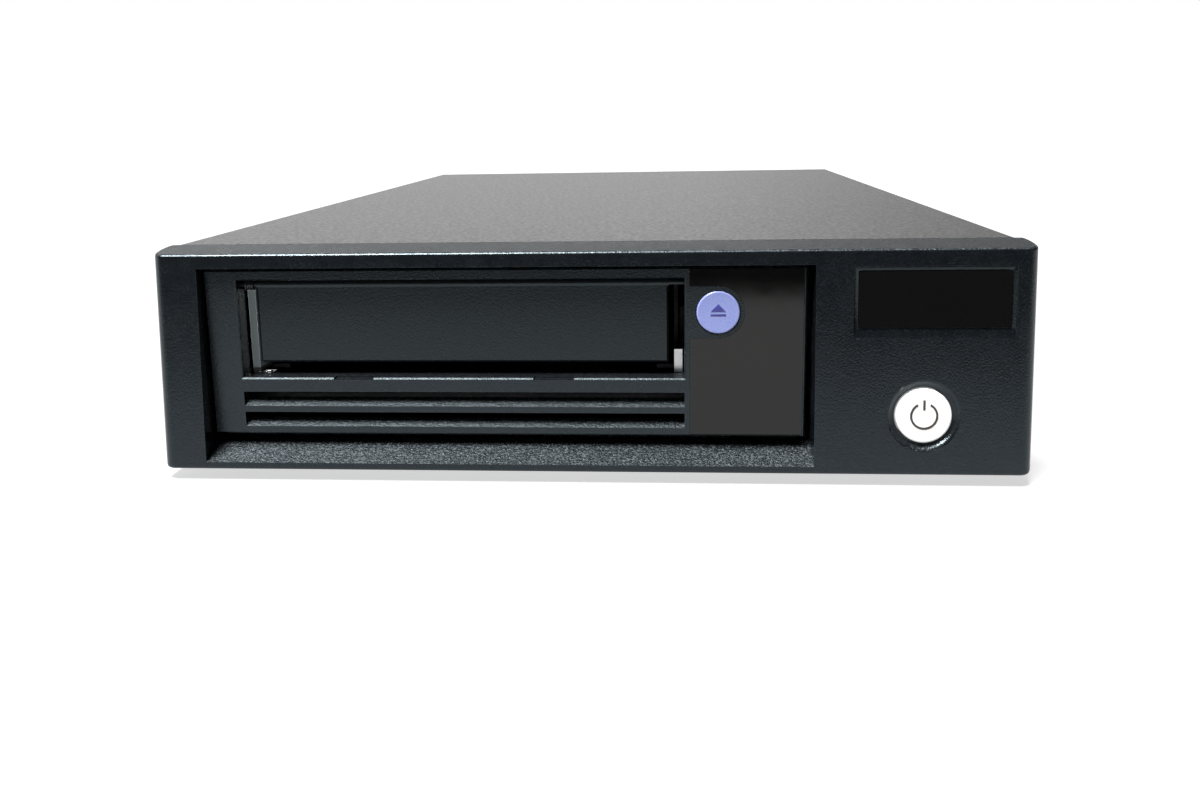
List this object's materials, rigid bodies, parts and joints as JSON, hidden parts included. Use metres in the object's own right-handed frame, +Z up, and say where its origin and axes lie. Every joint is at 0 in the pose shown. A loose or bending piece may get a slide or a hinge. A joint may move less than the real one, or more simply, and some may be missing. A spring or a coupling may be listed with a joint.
{
  "type": "tape drive",
  "caption": "Tabletop cartridge tape drive: steel-covered enclosure with a moulded front, flap door, smoked window, eject and power buttons, rear fan and ports, full loading and tape mechanism.",
  "frame": {"origin": "middle of the bounding box at the feet's underside", "axes": "+Y front to back (the front faces -Y), +Z up, +X to the right seen from the front"},
  "size_m": [0.213, 0.3319, 0.058],
  "materials": {
    "bezel_plastic": "fine moulded grain, near black",
    "cover_paint": "fine textured powder coat, charcoal",
    "zinc_steel": "zinc-plated sheet, faint rolling lines",
    "smoked_gloss": "polished smoked acrylic",
    "lavender_cap": "translucent lavender, satin",
    "white_cap": "white satin",
    "black_plastic": "plain moulded black",
    "foot_rubber": "matt black",
    "cast_alloy": "fine blasted casting",
    "board_green": "solder mask",
    "spring_steel": "drawn wire",
    "pillar_brass": "turned brass"
  },
  "bodies": {
    "enclosure": {"front_bezel": "bezel_plastic", "nameplate_window": "smoked_gloss", "power_switch_board": "board_green", "top_cover": "cover_paint", "base_tray": "zinc_steel", "rubber_feet": "foot_rubber", "rear_panel": "zinc_steel", "fan_frame": "black_plastic", "fan_guard": "spring_steel", "fan_screws": "zinc_steel", "power_inlet": "black_plastic", "sas_ports": "zinc_steel", "port_board": "board_green", "power_supply_board": "board_green", "transformer": "zinc_steel", "capacitors": "black_plastic", "heat_sinks": "cast_alloy", "drive_bezel": "bezel_plastic", "display_window": "smoked_gloss", "display_board": "board_green", "drive_pan": "zinc_steel", "drive_lid": "zinc_steel", "drive_bracket_left": "zinc_steel", "drive_bracket_right": "zinc_steel", "drive_deck": "cast_alloy", "reel_motors": "zinc_steel", "main_board": "board_green", "drive_connector": "black_plastic", "entry_guide": "zinc_steel", "entry_clip": "zinc_steel", "load_motor": "zinc_steel", "roller_posts": "zinc_steel", "head_rails": "zinc_steel", "head_actuator": "black_plastic", "pivot_posts": "zinc_steel", "power_spring": "spring_steel", "eject_spring": "spring_steel", "door_spring": "spring_steel", "data_cable": "black_plastic", "power_cable": "black_plastic", "case_screws": "zinc_steel", "small_screws": "zinc_steel", "standoffs": "pillar_brass"},
    "door": {"cartridge_door": "bezel_plastic"},
    "eject": {"eject_button": "lavender_cap"},
    "power": {"power_button": "white_cap"},
    "fan": {"fan_rotor": "black_plastic"},
    "sled": {"loader_sled": "zinc_steel"},
    "tray": {"cartridge_tray": "zinc_steel"},
    "pinion": {"load_pinion": "white_cap"},
    "worm": {"load_worm": "pillar_brass"},
    "supply": {"supply_hub": "cast_alloy"},
    "take_up": {"take_up_reel": "black_plastic"},
    "roller_1": {"guide_roller_1": "white_cap"},
    "roller_2": {"guide_roller_2": "white_cap"},
    "roller_3": {"guide_roller_3": "white_cap"},
    "roller_4": {"guide_roller_4": "white_cap"},
    "head": {"head_block": "cast_alloy"},
    "threader": {"threading_arm": "cast_alloy", "leader_catcher": "black_plastic"}
  },
  "joints": [
    {"name": "door_hinge", "type": "hinge", "parent": "enclosure", "child": "door", "pos_m": [-0.03097, -0.1554, 0.04808], "axis": [1, 0, 0], "range_deg": [0, 85], "stiffness_Nm_per_rad": 0.002, "springref_deg": -17.19, "deforming": ["door_spring"]},
    {"name": "eject_press", "type": "slide", "parent": "enclosure", "child": "eject", "axis": [0, 1, 0], "range_m": [0, 0.001], "stiffness_N_per_m": 400, "springref_m": -0.001, "deforming": ["eject_spring"]},
    {"name": "power_press", "type": "slide", "parent": "enclosure", "child": "power", "axis": [0, 0.9974, -0.0716], "range_m": [0, 0.0012], "stiffness_N_per_m": 400, "springref_m": -0.0015, "deforming": ["power_spring"]},
    {"name": "fan_spin", "type": "hinge", "parent": "enclosure", "child": "fan", "pos_m": [0.025, 0.152, 0.0302], "axis": [0, 1, 0], "continuous": true},
    {"name": "sled_travel", "type": "slide", "parent": "enclosure", "child": "sled", "axis": [0, 1, 0], "range_m": [0, 0.012]},
    {"name": "tray_drop", "type": "slide", "parent": "sled", "child": "tray", "axis": [0, 0, -1], "range_m": [0, 0.005]},
    {"name": "pinion_turn", "type": "hinge", "parent": "enclosure", "child": "pinion", "pos_m": [0.03233, -0.0928, 0.02], "axis": [0, 0, 1], "range_deg": [-115, 0]},
    {"name": "worm_turn", "type": "hinge", "parent": "enclosure", "child": "worm", "pos_m": [0.04213, -0.0928, 0.02382], "axis": [0, 1, 0], "range_deg": [0, 920]},
    {"name": "supply_spin", "type": "hinge", "parent": "enclosure", "child": "supply", "pos_m": [-0.03097, -0.087, 0.02], "axis": [0, 0, 1], "continuous": true},
    {"name": "take_up_spin", "type": "hinge", "parent": "enclosure", "child": "take_up", "pos_m": [-0.0475, 0.009, 0.03], "axis": [0, 0, 1], "continuous": true},
    {"name": "roller_1_spin", "type": "hinge", "parent": "enclosure", "child": "roller_1", "pos_m": [0.01802, -0.02683, 0.03], "axis": [0, 0, 1], "continuous": true},
    {"name": "roller_2_spin", "type": "hinge", "parent": "enclosure", "child": "roller_2", "pos_m": [0.03056, -0.0129, 0.03], "axis": [0, 0, 1], "continuous": true},
    {"name": "roller_3_spin", "type": "hinge", "parent": "enclosure", "child": "roller_3", "pos_m": [0.02819, 0.02101, 0.03], "axis": [0, 0, 1], "continuous": true},
    {"name": "roller_4_spin", "type": "hinge", "parent": "enclosure", "child": "roller_4", "pos_m": [0.01001, 0.02447, 0.03], "axis": [0, 0, 1], "continuous": true},
    {"name": "head_shift", "type": "slide", "parent": "enclosure", "child": "head", "axis": [0, 0, 1], "range_m": [-0.0032, 0.0032]},
    {"name": "threader_swing", "type": "hinge", "parent": "enclosure", "child": "threader", "pos_m": [0, 0.002, 0.044], "axis": [0, 0, 1], "range_deg": [0, 198]}
  ],
  "couplings": [
    {"joint": "pinion_turn", "follows": "sled_travel", "rad_per_m": -166.67},
    {"joint": "worm_turn", "follows": "sled_travel", "rad_per_m": 1333.3}
  ]
}
